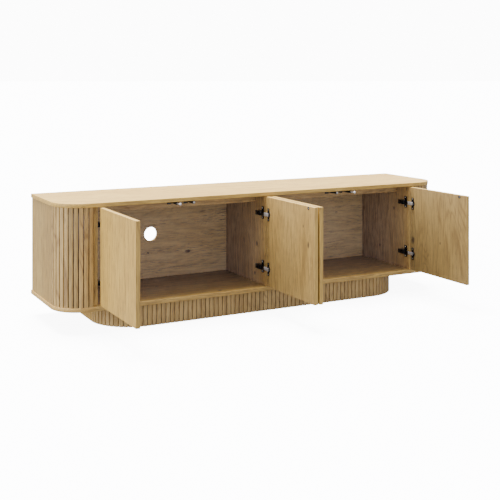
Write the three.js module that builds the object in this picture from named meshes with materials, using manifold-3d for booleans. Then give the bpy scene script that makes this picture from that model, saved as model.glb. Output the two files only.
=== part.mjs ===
// Low media cabinet with rounded front corners, slatted corner skins, four doors that open
// to 90 degrees on concealed hinges, push latches, and a recessed slatted plinth.
// Millimetres, +Z up. The origin is on the floor, at the centre of the cabinet's footprint.
// +X runs along the front to the right, and the doors face -Y.

import * as THREE from 'three';
import { mergeVertices } from 'three/addons/utils/BufferGeometryUtils.js';
import Module from 'manifold-3d';

const wasm = await Module();
wasm.setup();

// ---- driving dimensions -------------------------------------------------------------------

const WIDTH = 1800;
const DEPTH = 416;
const HEIGHT = 500;
const BOARD = 16; // thickness of every panel and door
const CORNER_RADIUS = 120; // rounded front corners of the top and bottom panels
const OVERHANG = 3; // top and bottom panels stand this far proud of the sides and doors
const GLUE_GAP = 0.2; // between boards that are glued together
const ARC_STEPS = 14; // straight steps in a quarter turn of a panel's corner

const PLINTH_HEIGHT = 86;
const PLINTH_SIDE_INSET = 186;
const PLINTH_FRONT_INSET = 14;
const PLINTH_BACK_INSET = 20;
const PLINTH_RADIUS = 175;
const PLINTH_CORNER_RUN = 37; // straight stretch of a corner piece, past its curve
const PLINTH_CORNER_SLATS = 16;
const PLINTH_FRONT_SLATS = 52;

const CORNER_SLATS = 10;
const CORNER_RUN = 15.4; // straight stretch of a corner skin, past its curve
const SKIN_BLOCK_WIDTH = 22.4; // block that joins a skin's end to its partition
const BACKING_STEPS = 20; // straight steps along the back of a curved skin
const SLAT_DEPTH = 6;
const SLAT_BACKING = 5;
const SLAT_GROOVE = 4;
const SLAT_EASING = 1.2; // rounded edge of a slat

const PARTITION_FROM_END = 141; // outer face of a side partition, from the cabinet's end
const PARTITION_SETBACK = 21.5; // front edge of the partitions, from the panels' front edge
const BACK_SETBACK = 6; // back boards, from the panels' back edge
const BACK_SEAM = 1; // open seam between a side panel and the back board that covers its edge
const RAIL_SETBACK = 110;
const RAIL_HEIGHT = 36;
const CABLE_HOLE_RADIUS = 30;
const CABLE_HOLE_HEIGHT = 295;

const DOOR_WIDTH = 379;
const DOOR_TOP_GAP = 1.5;
const DOOR_BOTTOM_GAP = 6.5;
const DOOR_END_GAP = 2.6; // closed door, to the end of the corner skin
const DOOR_CENTRE_GAP = 1.4; // closed door, to the cabinet's centre line
// How far a door's hinge edge moves as the door opens to 90 degrees: inwards, from the closed
// edge to the open door's outer face, and forwards, from the closed outer face to the open edge.
const OUTER_DOOR_SHIFT = { inwards: 17.5, forwards: 14 };
const CENTRE_DOOR_SHIFT = { inwards: 2.4, forwards: 14 };

const HINGE_FROM_DOOR_END = 73.5;
const CUP_RADIUS = 13;
const CUP_WALL = 1;
const CUP_DEPTH = 10.5;
const CUP_FROM_EDGE = 17; // cup's centre, from the door's hinge edge
const FLANGE = { width: 15, height: 54, thickness: 1, screwHead: 0.6, screwSpacing: 42 };
// The link swings on a pin in the arm's two cheeks. Its bar passes the open door's face, and its
// nose dips into the cup.
const LINK = {
  width: 5, height: 14, faceGap: 2.5, barrelRadius: 4.5, noseHalf: 4, noseDip: 4, noseStep: 1,
};
const LINK_PIN = { radius: 1.6, play: 0.4, head: 0.8, fromFront: 29.5 };
const ARM = {
  cheek: 1.6, cheekRadius: 5.5, bodyStart: 36, bodyEnd: 69, reliefEnd: 42, play: 0.4,
  adjusterRadius: 3.2, adjusterHead: 0.8,
};
const PLATE = { length: 17, height: 52, thickness: 2.4, start: 33, screwSpacing: 40 };
const SCREW_RADIUS = 4;
const PLATE_SCREW_HEAD = 1.4;

const LATCH_DROP = 25; // latch axis, below the top surface
// Latch axes, to the left and right of the line where a pair of doors meets.
const LATCH_OFFSET = { left: 28, right: 45 };
const LATCH_RADIUS = 6.5;
const LATCH_FRONT = 24.4; // front end of the latch body, from the panels' front edge
const LATCH_FLANGE = { width: 18, height: 20, thickness: 4 };
const PLUNGER = {
  radius: 3.2, headRadius: 4.8, headLength: 3, length: 52, travel: 28, play: 0.5, standoff: 0.3,
  spareBore: 2,
};
const STRIKE = { radius: 6.5, thickness: 1.2 };

// ---- places worked out from them ----------------------------------------------------------

const FRONT = -DEPTH / 2;
const BACK = DEPTH / 2;
const RIGHT = WIDTH / 2;
const INSIDE_BOTTOM = PLINTH_HEIGHT + BOARD;
const INSIDE_TOP = HEIGHT - BOARD;
const INSIDE_HEIGHT = INSIDE_TOP - INSIDE_BOTTOM;
const DOOR_FACE = FRONT + OVERHANG; // outer face of a closed door
const DOOR_HEIGHT = INSIDE_HEIGHT - DOOR_TOP_GAP - DOOR_BOTTOM_GAP;
const DOOR_BOTTOM = INSIDE_BOTTOM + DOOR_BOTTOM_GAP;
const SKIN_RADIUS = CORNER_RADIUS - OVERHANG;
const SKIN_END = RIGHT - CORNER_RADIUS - CORNER_RUN; // |x| where a corner skin ends
const PARTITION_OUTER = RIGHT - PARTITION_FROM_END; // |x| of a side partition's outer face
const PARTITION_INNER = PARTITION_OUTER - BOARD;
const PARTITION_FRONT = FRONT + PARTITION_SETBACK;
const BACK_BOARD_FACE = BACK - BACK_SETBACK - BOARD;
const OUTER_DOOR_EDGE = SKIN_END - DOOR_END_GAP; // |x| of a closed outer door's hinge edge
const COMPARTMENT_MIDDLE = (PARTITION_INNER + BOARD / 2) / 2;
const DOORS_MEET = (OUTER_DOOR_EDGE + DOOR_CENTRE_GAP) / 2;
const HINGE_HEIGHTS = {
  upper: DOOR_BOTTOM + DOOR_HEIGHT - HINGE_FROM_DOOR_END,
  lower: DOOR_BOTTOM + HINGE_FROM_DOOR_END,
};
const LATCH_HEIGHT = HEIGHT - LATCH_DROP;

// ---- materials ----------------------------------------------------------------------------

const oak = new THREE.MeshStandardMaterial({ color: 0xc9ad82, roughness: 0.55 });
const slatOak = new THREE.MeshStandardMaterial({ color: 0xb3936a, roughness: 0.6 });
const blackSteel = new THREE.MeshStandardMaterial({
  color: 0x222222, roughness: 0.45, metalness: 0.7,
});
const brightSteel = new THREE.MeshStandardMaterial({
  color: 0xb9bcc0, roughness: 0.3, metalness: 1,
});
const blackPlastic = new THREE.MeshStandardMaterial({ color: 0x1b1b1c, roughness: 0.5 });
const whitePlastic = new THREE.MeshStandardMaterial({ color: 0xe4e2dc, roughness: 0.4 });

// ---- shaping helpers ----------------------------------------------------------------------

const cabinet = new THREE.Group();

function addMesh(parent, name, geometry, material) {
  const mesh = new THREE.Mesh(geometry, material);
  mesh.name = name;
  parent.add(mesh);
  return mesh;
}

function solidFrom(geometry) {
  const bare = geometry.clone();
  bare.deleteAttribute('normal');
  bare.deleteAttribute('uv');
  const merged = mergeVertices(bare);
  return new wasm.Manifold(new wasm.Mesh({
    numProp: 3,
    vertProperties: merged.attributes.position.array,
    triVerts: merged.index.array,
  }));
}

function geometryFrom(solid) {
  const mesh = solid.getMesh();
  const geometry = new THREE.BufferGeometry();
  geometry.setAttribute('position', new THREE.Float32BufferAttribute(mesh.vertProperties, 3));
  geometry.setIndex(new THREE.Uint32BufferAttribute(mesh.triVerts, 1));
  geometry.computeVertexNormals();
  return geometry;
}

function joined(first, ...others) {
  return geometryFrom(others.reduce((sum, piece) => sum.add(solidFrom(piece)), solidFrom(first)));
}

function cut(body, ...tools) {
  return geometryFrom(tools.reduce((rest, tool) => rest.subtract(solidFrom(tool)), solidFrom(body)));
}

// A box between two corners.
function boxBetween(low, high) {
  const size = high.map((value, axis) => value - low[axis]);
  const middle = high.map((value, axis) => (value + low[axis]) / 2);
  return new THREE.BoxGeometry(...size).translate(...middle);
}

// A cylinder along Y, from y0 to y1.
function rodAlongY(radius, y0, y1, x = 0, z = 0, segments = 20) {
  return new THREE.CylinderGeometry(radius, radius, y1 - y0, segments)
    .translate(x, (y0 + y1) / 2, z);
}

// A cylinder along X, from x0 to x1.
function rodAlongX(radius, x0, x1, y = 0, z = 0, segments = 10) {
  const [low, high] = [Math.min(x0, x1), Math.max(x0, x1)];
  return new THREE.CylinderGeometry(radius, radius, high - low, segments)
    .rotateZ(Math.PI / 2)
    .translate((low + high) / 2, y, z);
}

// A cylinder along Z, from z0 to z1.
function rodAlongZ(radius, z0, z1, x = 0, y = 0, segments = 16) {
  return new THREE.CylinderGeometry(radius, radius, z1 - z0, segments)
    .rotateX(Math.PI / 2)
    .translate(x, y, (z0 + z1) / 2);
}

// An outline in the XY plane, raised from z0 by a height.
function raised(outline, z0, height) {
  return new THREE.ExtrudeGeometry(new THREE.Shape(outline), {
    depth: height, bevelEnabled: false, steps: 1,
  }).translate(0, 0, z0);
}

function mirroredX(points) {
  return points.map((point) => new THREE.Vector2(-point.x, point.y));
}

// ---- top, bottom, sides, partitions, backs and rails ---------------------------------------

function panelOutline() {
  const points = [new THREE.Vector2(-RIGHT, BACK)];
  for (const side of [-1, 1]) {
    for (let step = 0; step <= ARC_STEPS; step += 1) {
      const turn = side < 0 ? step / ARC_STEPS : 1 - step / ARC_STEPS;
      const angle = (Math.PI / 2) * turn;
      points.push(new THREE.Vector2(
        side * (RIGHT - CORNER_RADIUS + CORNER_RADIUS * Math.cos(angle)),
        FRONT + CORNER_RADIUS - CORNER_RADIUS * Math.sin(angle),
      ));
    }
  }
  points.push(new THREE.Vector2(RIGHT, BACK));
  return points;
}

function addCarcase() {
  addMesh(cabinet, 'top_panel', raised(panelOutline(), INSIDE_TOP, BOARD), oak);
  addMesh(cabinet, 'bottom_panel', raised(panelOutline(), PLINTH_HEIGHT, BOARD), oak);

  const z0 = INSIDE_BOTTOM + GLUE_GAP;
  const z1 = INSIDE_TOP - GLUE_GAP;
  const outer = RIGHT - OVERHANG;
  for (const [side, sign] of [['left', -1], ['right', 1]]) {
    const start = FRONT + CORNER_RADIUS + GLUE_GAP;
    const end = BACK_BOARD_FACE - BACK_SEAM;
    addMesh(cabinet, `side_panel_${side}`, new THREE.BoxGeometry(BOARD, end - start, z1 - z0), oak)
      .position.set(sign * (outer - BOARD / 2), (start + end) / 2, (z0 + z1) / 2);
  }

  const partition = new THREE.BoxGeometry(
    BOARD, BACK_BOARD_FACE - GLUE_GAP - PARTITION_FRONT, z1 - z0,
  );
  const partitionY = (BACK_BOARD_FACE - GLUE_GAP + PARTITION_FRONT) / 2;
  const partitionX = PARTITION_OUTER - BOARD / 2;
  for (const [place, x] of [['left', -partitionX], ['centre', 0], ['right', partitionX]]) {
    addMesh(cabinet, `partition_${place}`, partition.clone(), oak)
      .position.set(x, partitionY, (z0 + z1) / 2);
  }

  const boardLength = outer - GLUE_GAP;
  for (const [side, sign] of [['left', -1], ['right', 1]]) {
    const hole = rodAlongY(CABLE_HOLE_RADIUS, -BOARD, BOARD, 0, 0, 40)
      .translate(sign * (COMPARTMENT_MIDDLE - boardLength / 2 - GLUE_GAP), 0, CABLE_HOLE_HEIGHT);
    const board = new THREE.BoxGeometry(boardLength, BOARD, z1 - z0)
      .translate(0, 0, (z0 + z1) / 2);
    addMesh(cabinet, `back_board_${side}`, cut(board, hole), oak)
      .position.set(sign * (boardLength / 2 + GLUE_GAP), BACK_BOARD_FACE + BOARD / 2, 0);
  }

  const railLength = PARTITION_INNER - BOARD / 2 - 2 * GLUE_GAP;
  for (const [side, sign] of [['left', -1], ['right', 1]]) {
    addMesh(cabinet, `top_rail_${side}`, new THREE.BoxGeometry(railLength, BOARD, RAIL_HEIGHT), oak)
      .position.set(
        sign * COMPARTMENT_MIDDLE, FRONT + RAIL_SETBACK + BOARD / 2, z1 - RAIL_HEIGHT / 2,
      );
  }
}

// ---- slatted skins -------------------------------------------------------------------------

// A path that turns a quarter round the left front corner and then runs straight along the
// front. at(s, depth) is the point s along it, depth behind its surface.
function cornerPath(centreX, centreY, radius, run) {
  const curve = (Math.PI / 2) * radius;
  return {
    length: curve + run,
    at(s, depth) {
      if (s > curve) {
        return new THREE.Vector2(centreX + s - curve, centreY - radius + depth);
      }
      const angle = Math.PI + s / radius;
      return new THREE.Vector2(
        centreX + (radius - depth) * Math.cos(angle),
        centreY + (radius - depth) * Math.sin(angle),
      );
    },
  };
}

function straightPath(x0, x1, y) {
  return { length: x1 - x0, at: (s, depth) => new THREE.Vector2(x0 + s, y + depth) };
}

// The slatted side of an outline: eased slats, with a groove between each two.
function slatPoints(path, count) {
  const pitch = path.length / count;
  const points = [];
  for (let slat = 0; slat < count; slat += 1) {
    const from = slat * pitch + (slat > 0 ? SLAT_GROOVE / 2 : 0);
    const to = (slat + 1) * pitch - (slat < count - 1 ? SLAT_GROOVE / 2 : 0);
    if (slat > 0) {
      points.push(path.at(from, SLAT_DEPTH));
    }
    points.push(path.at(from, SLAT_EASING));
    points.push(path.at(from + SLAT_EASING, 0));
    points.push(path.at((from + to) / 2, 0));
    points.push(path.at(to - SLAT_EASING, 0));
    points.push(path.at(to, SLAT_EASING));
    if (slat < count - 1) {
      points.push(path.at(to, SLAT_DEPTH));
    }
  }
  return points;
}

// The plain side of an outline, from the path's end back to its start.
function backPoints(path, steps) {
  const points = [];
  for (let step = steps; step >= 0; step -= 1) {
    points.push(path.at((path.length * step) / steps, SLAT_DEPTH + SLAT_BACKING));
  }
  return points;
}

function addCornerSkins() {
  const path = cornerPath(-RIGHT + CORNER_RADIUS, FRONT + CORNER_RADIUS, SKIN_RADIUS, CORNER_RUN);
  const blockFront = PARTITION_FRONT + GLUE_GAP;
  const blockEnd = -PARTITION_OUTER - GLUE_GAP;
  const outline = [
    ...slatPoints(path, CORNER_SLATS),
    new THREE.Vector2(-SKIN_END, blockFront),
    new THREE.Vector2(blockEnd, blockFront),
    new THREE.Vector2(blockEnd, blockFront + BOARD),
    new THREE.Vector2(blockEnd - SKIN_BLOCK_WIDTH, blockFront + BOARD),
    ...backPoints(path, BACKING_STEPS).filter((point) => point.x < blockEnd - SKIN_BLOCK_WIDTH),
  ];
  const z0 = INSIDE_BOTTOM + GLUE_GAP;
  const height = INSIDE_HEIGHT - 2 * GLUE_GAP;
  addMesh(cabinet, 'corner_skin_left', raised(outline, z0, height), slatOak);
  addMesh(cabinet, 'corner_skin_right', raised(mirroredX(outline), z0, height), slatOak);
}

function addPlinth() {
  const side = RIGHT - PLINTH_SIDE_INSET;
  const front = FRONT + PLINTH_FRONT_INSET;
  const back = BACK - PLINTH_BACK_INSET;
  const height = PLINTH_HEIGHT - GLUE_GAP;
  const jointX = side - PLINTH_RADIUS - PLINTH_CORNER_RUN;
  const thickness = SLAT_DEPTH + SLAT_BACKING;

  const path = cornerPath(
    -side + PLINTH_RADIUS, front + PLINTH_RADIUS, PLINTH_RADIUS, PLINTH_CORNER_RUN,
  );
  const corner = [
    new THREE.Vector2(-side, back),
    ...slatPoints(path, PLINTH_CORNER_SLATS),
    ...backPoints(path, BACKING_STEPS),
    new THREE.Vector2(-side + thickness, back),
  ];
  addMesh(cabinet, 'plinth_corner_left', raised(corner, 0, height), slatOak);
  addMesh(cabinet, 'plinth_corner_right', raised(mirroredX(corner), 0, height), slatOak);

  const frontPath = straightPath(-jointX + GLUE_GAP, jointX - GLUE_GAP, front);
  const frontOutline = [
    ...slatPoints(frontPath, PLINTH_FRONT_SLATS),
    frontPath.at(frontPath.length, thickness),
    frontPath.at(0, thickness),
  ];
  addMesh(cabinet, 'plinth_front', raised(frontOutline, 0, height), slatOak);

  const inner = side - thickness - GLUE_GAP;
  const backRail = boxBetween([-inner, back - BOARD, 0], [inner, back, height]);
  addMesh(cabinet, 'plinth_back', backRail, oak);
  const cross = boxBetween(
    [-BOARD / 2, front + thickness + GLUE_GAP, 0],
    [BOARD / 2, back - BOARD - GLUE_GAP, height],
  );
  addMesh(cabinet, 'plinth_cross_member', cross, oak);
}

// ---- concealed hinges ----------------------------------------------------------------------

// The cup and its flange, with its axis along Y and the door's inner face at y = 0. The cup is
// sunk towards -Y.
function cupGeometry() {
  const flange = boxBetween(
    [-FLANGE.width / 2, GLUE_GAP, -FLANGE.height / 2],
    [FLANGE.width / 2, GLUE_GAP + FLANGE.thickness, FLANGE.height / 2],
  );
  const pot = rodAlongY(CUP_RADIUS, -CUP_DEPTH, GLUE_GAP + FLANGE.thickness, 0, 0, 24);
  const hollow = rodAlongY(CUP_RADIUS - CUP_WALL, CUP_WALL - CUP_DEPTH, BOARD, 0, 0, 24);
  const screws = [-1, 1].map((end) => rodAlongY(
    SCREW_RADIUS, FLANGE.thickness / 2, GLUE_GAP + FLANGE.thickness + FLANGE.screwHead,
    0, (end * FLANGE.screwSpacing) / 2, 10,
  ));
  return cut(joined(flange, pot, ...screws), hollow);
}

// The mounting plate and arm on a partition's face at x = 0. They reach away from it in the
// direction of side, and the link's pin stands at pinX. y = 0 is the panels' front edge.
function armGeometry(side, pinX) {
  const block = (x0, x1, y0, y1, z0, z1) => boxBetween(
    [Math.min(side * x0, side * x1), y0, z0], [Math.max(side * x0, side * x1), y1, z1],
  );
  const innerHalf = LINK.height / 2 + ARM.play;
  const outerHalf = innerHalf + ARM.cheek;
  const plateEnd = PLATE.start + PLATE.length;
  const plate = block(
    GLUE_GAP, PLATE.thickness, PLATE.start, plateEnd, -PLATE.height / 2, PLATE.height / 2,
  );
  const body = block(
    PLATE.thickness / 2, pinX + ARM.cheekRadius, ARM.bodyStart, ARM.bodyEnd, -outerHalf, outerHalf,
  );
  const relief = block(
    PLATE.thickness, pinX - ARM.cheekRadius, ARM.bodyStart - 1, ARM.reliefEnd,
    -BOARD, BOARD,
  );
  const cheeks = [-outerHalf, innerHalf].flatMap((z0) => [
    block(
      pinX - ARM.cheekRadius, pinX + ARM.cheekRadius, LINK_PIN.fromFront, ARM.bodyStart + 1,
      z0, z0 + ARM.cheek,
    ),
    rodAlongZ(ARM.cheekRadius, z0, z0 + ARM.cheek, side * pinX, LINK_PIN.fromFront, 16),
  ]);
  const pinHalf = outerHalf + LINK_PIN.head;
  const pin = rodAlongZ(LINK_PIN.radius, -pinHalf, pinHalf, side * pinX, LINK_PIN.fromFront, 12);
  const screws = [-1, 1].map((end) => rodAlongX(
    SCREW_RADIUS, side, side * (PLATE.thickness + PLATE_SCREW_HEAD), (PLATE.start + plateEnd) / 2,
    (end * PLATE.screwSpacing) / 2,
  ));
  const adjuster = rodAlongX(
    ARM.adjusterRadius, side * pinX, side * (pinX + ARM.cheekRadius + ARM.adjusterHead),
    (ARM.bodyStart + ARM.bodyEnd) / 2, 0,
  );
  return cut(joined(plate, body, ...cheeks, pin, adjuster, ...screws), relief);
}

// The link, with its pin at the origin and its bar towards -Y. Its nose reaches into the cup, in
// the direction of -side, at cupY.
function linkGeometry(side, cupY) {
  const half = LINK.height / 2;
  const end = cupY - LINK.noseHalf;
  const bar = boxBetween([-LINK.width / 2, end, -half], [LINK.width / 2, 0, half]);
  const barrel = rodAlongZ(LINK.barrelRadius, -half, half, 0, 0, 16);
  const reach = LINK.width / 2 + LINK.faceGap + LINK.noseDip;
  const nose = boxBetween(
    [Math.min(0, -side * reach), end, LINK.noseStep - half],
    [Math.max(0, -side * reach), end + 2 * LINK.noseHalf, half - LINK.noseStep],
  );
  const hole = rodAlongZ(LINK_PIN.radius + LINK_PIN.play, -BOARD, BOARD, 0, 0, 12);
  return cut(joined(bar, barrel, nose), hole);
}

// ---- doors, with their hinges and strikes ----------------------------------------------------

// hand is 1 for a door hinged on its left edge and -1 for one hinged on its right edge. edgeX is
// the closed door's hinge edge and faceX the partition face that carries its hinges.
function addDoor(number, hand, edgeX, faceX, shift) {
  // One turn of 90 degrees about this point carries the closed door to its open place.
  const pivotIn = (shift.inwards - shift.forwards) / 2;
  const pivotOut = (shift.inwards + shift.forwards) / 2;
  const pivot = new THREE.Group();
  pivot.position.set(edgeX + hand * pivotIn, DOOR_FACE - pivotOut, 0);
  pivot.rotation.z = (-hand * Math.PI) / 2;
  cabinet.add(pivot);

  // Inside the pivot group the door is laid out as it is when closed.
  const along = (distance) => hand * (distance - pivotIn);
  const innerFace = pivotOut + BOARD;
  const panel = new THREE.BoxGeometry(DOOR_WIDTH, BOARD, DOOR_HEIGHT);
  const bores = Object.values(HINGE_HEIGHTS).map((height) => rodAlongY(
    CUP_RADIUS + GLUE_GAP, BOARD / 2 - CUP_DEPTH - GLUE_GAP, BOARD,
    hand * (CUP_FROM_EDGE - DOOR_WIDTH / 2), height - DOOR_BOTTOM - DOOR_HEIGHT / 2, 24,
  ));
  addMesh(pivot, `door_${number}`, cut(panel, ...bores), oak).position.set(
    along(DOOR_WIDTH / 2), pivotOut + BOARD / 2, DOOR_BOTTOM + DOOR_HEIGHT / 2,
  );

  const strike = rodAlongY(STRIKE.radius, GLUE_GAP, GLUE_GAP + STRIKE.thickness, 0, 0, 20);
  const strikeFromEdge = Math.abs(edgeX - latchX(number));
  addMesh(pivot, `strike_plate_${number}`, strike, blackSteel)
    .position.set(along(strikeFromEdge), innerFace, LATCH_HEIGHT);

  const openFace = edgeX + hand * (shift.inwards + BOARD);
  const pinOffset = Math.abs(openFace - faceX) + LINK.faceGap + LINK.width / 2;
  const pinY = FRONT + LINK_PIN.fromFront;
  const openCupY = DOOR_FACE - shift.forwards - CUP_FROM_EDGE;
  for (const [level, height] of Object.entries(HINGE_HEIGHTS)) {
    addMesh(pivot, `hinge_cup_${number}_${level}`, cupGeometry(), blackSteel)
      .position.set(along(CUP_FROM_EDGE), innerFace, height);
    addMesh(cabinet, `hinge_arm_${number}_${level}`, armGeometry(hand, pinOffset), blackSteel)
      .position.set(faceX, FRONT, height);
    addMesh(
      cabinet, `hinge_link_${number}_${level}`, linkGeometry(hand, openCupY - pinY), brightSteel,
    ).position.set(faceX + hand * pinOffset, pinY, height);
  }
}

// ---- push latches ---------------------------------------------------------------------------

function latchX(number) {
  const middle = number <= 2 ? -DOORS_MEET : DOORS_MEET;
  return middle + (number % 2 === 1 ? -LATCH_OFFSET.left : LATCH_OFFSET.right);
}

// y = 0 is the front end of the latch body.
function latchBodyGeometry() {
  const end = FRONT + RAIL_SETBACK - GLUE_GAP - (FRONT + LATCH_FRONT);
  const barrel = rodAlongY(LATCH_RADIUS, 0, end, 0, 0, 20);
  const flange = boxBetween(
    [-LATCH_FLANGE.width / 2, end - LATCH_FLANGE.thickness, -LATCH_FLANGE.height + LATCH_RADIUS],
    [LATCH_FLANGE.width / 2, end, LATCH_RADIUS],
  );
  const bore = rodAlongY(
    PLUNGER.radius + PLUNGER.play, -BOARD, PLUNGER.length + PLUNGER.spareBore, 0, 0, 16,
  );
  return cut(joined(barrel, flange), bore);
}

// y = 0 is the plunger's tip.
function plungerGeometry() {
  const profile = [
    [0, 0], [0.7, 0], [1, 0.4], [1, PLUNGER.headLength],
  ].map(([share, y]) => new THREE.Vector2(share * PLUNGER.headRadius, y));
  profile.push(new THREE.Vector2(PLUNGER.radius, PLUNGER.headLength));
  profile.push(new THREE.Vector2(PLUNGER.radius, PLUNGER.length));
  profile.push(new THREE.Vector2(0, PLUNGER.length));
  return new THREE.LatheGeometry(profile, 16);
}

// A plunger stands out by its travel when the latch is sprung, and is held in otherwise.
function addLatch(number, sprung) {
  const bodyFront = FRONT + LATCH_FRONT;
  addMesh(cabinet, `push_latch_${number}`, latchBodyGeometry(), blackPlastic)
    .position.set(latchX(number), bodyFront, LATCH_HEIGHT);
  const tip = bodyFront - PLUNGER.headLength - PLUNGER.standoff - (sprung ? PLUNGER.travel : 0);
  addMesh(cabinet, `latch_plunger_${number}`, plungerGeometry(), whitePlastic)
    .position.set(latchX(number), tip, LATCH_HEIGHT);
}

// ---- the cabinet ----------------------------------------------------------------------------

addCarcase();
addCornerSkins();
addPlinth();
addDoor(1, 1, -OUTER_DOOR_EDGE, -PARTITION_INNER, OUTER_DOOR_SHIFT);
addDoor(2, -1, -DOOR_CENTRE_GAP, -BOARD / 2, CENTRE_DOOR_SHIFT);
addDoor(3, 1, DOOR_CENTRE_GAP, BOARD / 2, CENTRE_DOOR_SHIFT);
addDoor(4, -1, OUTER_DOOR_EDGE, PARTITION_INNER, OUTER_DOOR_SHIFT);
for (const [number, sprung] of [[1, true], [2, false], [3, false], [4, true]]) {
  addLatch(number, sprung);
}

export default cabinet;
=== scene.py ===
"""Low oak media cabinet: finished boards, slats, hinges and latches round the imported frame."""

import math

import bmesh
import bpy
from mathutils import Matrix, Vector


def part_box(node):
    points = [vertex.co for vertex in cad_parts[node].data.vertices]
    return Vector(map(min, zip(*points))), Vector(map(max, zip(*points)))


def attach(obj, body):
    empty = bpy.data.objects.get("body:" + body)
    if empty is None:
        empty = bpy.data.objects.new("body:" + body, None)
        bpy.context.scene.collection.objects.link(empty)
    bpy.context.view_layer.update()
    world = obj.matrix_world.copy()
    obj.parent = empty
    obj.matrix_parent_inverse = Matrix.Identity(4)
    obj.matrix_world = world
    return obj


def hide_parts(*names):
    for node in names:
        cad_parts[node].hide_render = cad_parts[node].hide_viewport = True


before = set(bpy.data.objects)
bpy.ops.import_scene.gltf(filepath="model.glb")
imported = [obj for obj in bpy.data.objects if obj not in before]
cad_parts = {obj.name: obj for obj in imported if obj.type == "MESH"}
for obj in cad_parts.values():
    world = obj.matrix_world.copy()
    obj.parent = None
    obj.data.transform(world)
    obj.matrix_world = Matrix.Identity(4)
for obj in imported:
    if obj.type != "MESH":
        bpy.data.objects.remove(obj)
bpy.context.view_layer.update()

MM = 0.001
CARCASE = "carcase"
SIDES = {"left": -1, "right": 1}
DOORS = (1, 2, 3, 4)
LEVELS = ("upper", "lower")


# ---- camera --------------------------------------------------------------------------------

CAMERA_PLACE = (-1.90236, -3.63365, 0.97133)
CAMERA_YAW = math.radians(27.85)  # how far the level camera is turned towards +X
SENSOR_WIDTH = 36  # millimetres, like the lens
CAMERA_LENS = 67.146
CAMERA_SHIFT = -0.3404


def add_camera():
    data = bpy.data.cameras.new("camera")
    data.lens = CAMERA_LENS
    data.sensor_width = SENSOR_WIDTH
    data.shift_y = CAMERA_SHIFT
    camera = bpy.data.objects.new("camera", data)
    camera.location = CAMERA_PLACE
    camera.rotation_euler = (math.pi / 2, 0, -CAMERA_YAW)
    bpy.context.scene.collection.objects.link(camera)
    bpy.context.scene.camera = camera


add_camera()


# ---- node helpers --------------------------------------------------------------------------


def new_group(name, inputs, outputs):
    """A shader node group with named sockets. inputs maps a name to (type, default)."""
    group = bpy.data.node_groups.new(name, "ShaderNodeTree")
    for label, (kind, default) in inputs.items():
        socket = group.interface.new_socket(label, in_out="INPUT", socket_type="NodeSocket" + kind)
        if default is not None:
            socket.default_value = default
    for label, kind in outputs.items():
        group.interface.new_socket(label, in_out="OUTPUT", socket_type="NodeSocket" + kind)
    return group, group.nodes.new("NodeGroupInput"), group.nodes.new("NodeGroupOutput")


class Tree:
    """Adds nodes to a node tree in short lines."""

    def __init__(self, tree):
        self.tree = tree

    def join(self, source, target):
        """Sets a plain value on a socket, or links another socket to it."""
        if isinstance(source, (int, float, tuple, str)):
            target.default_value = source
        else:
            self.tree.links.new(source, target)

    def add(self, kind, inputs=(), **settings):
        node = self.tree.nodes.new(kind)
        for name, value in settings.items():
            setattr(node, name, value)
        for key, value in dict(inputs).items():
            self.join(value, node.inputs[key])
        return node

    def maths(self, operation, a, b=None, clamp=False):
        node = self.add("ShaderNodeMath", {0: a}, operation=operation, use_clamp=clamp)
        if b is not None:
            self.join(b, node.inputs[1])
        return node.outputs[0]

    def vector(self, operation, a, b=None):
        node = self.add("ShaderNodeVectorMath", {0: a}, operation=operation)
        if b is not None:
            self.join(b, node.inputs[1])
        return node.outputs[0]

    def noise(self, vector, scale, detail=2.0, roughness=0.5, distortion=0.0):
        node = self.add("ShaderNodeTexNoise", {
            "Vector": vector, "Scale": scale, "Detail": detail, "Roughness": roughness,
            "Distortion": distortion,
        })
        return node.outputs["Fac"]

    def span(self, value, low, high, to_low=0.0, to_high=1.0, smooth=False):
        node = self.add("ShaderNodeMapRange", {
            "Value": value, "From Min": low, "From Max": high,
            "To Min": to_low, "To Max": to_high,
        })
        node.interpolation_type = "SMOOTHSTEP" if smooth else "LINEAR"
        return node.outputs["Result"]

    def blend(self, share, a, b, mode="MIX"):
        """A Mix node has its colours on sockets 6 and 7, and puts them out on socket 2."""
        node = self.add("ShaderNodeMix", data_type="RGBA", blend_type=mode)
        self.join(share, node.inputs[0])
        self.join(a, node.inputs[6])
        self.join(b, node.inputs[7])
        return node.outputs[2]


# ---- shared effects ------------------------------------------------------------------------


RING_COUNT = 30.0  # how many times the growth rings fold back over the noise's range
PAINTED_SHADE_RISE = 0.45  # below 1, the painted inside shade comes in early, near the front
PUSH_FADE = 0.55  # how much of a knot's push is left at each further radius
KNOT_LENGTH = 0.55  # a knot's place is squeezed by this along the grain, so it comes out longer


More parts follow.
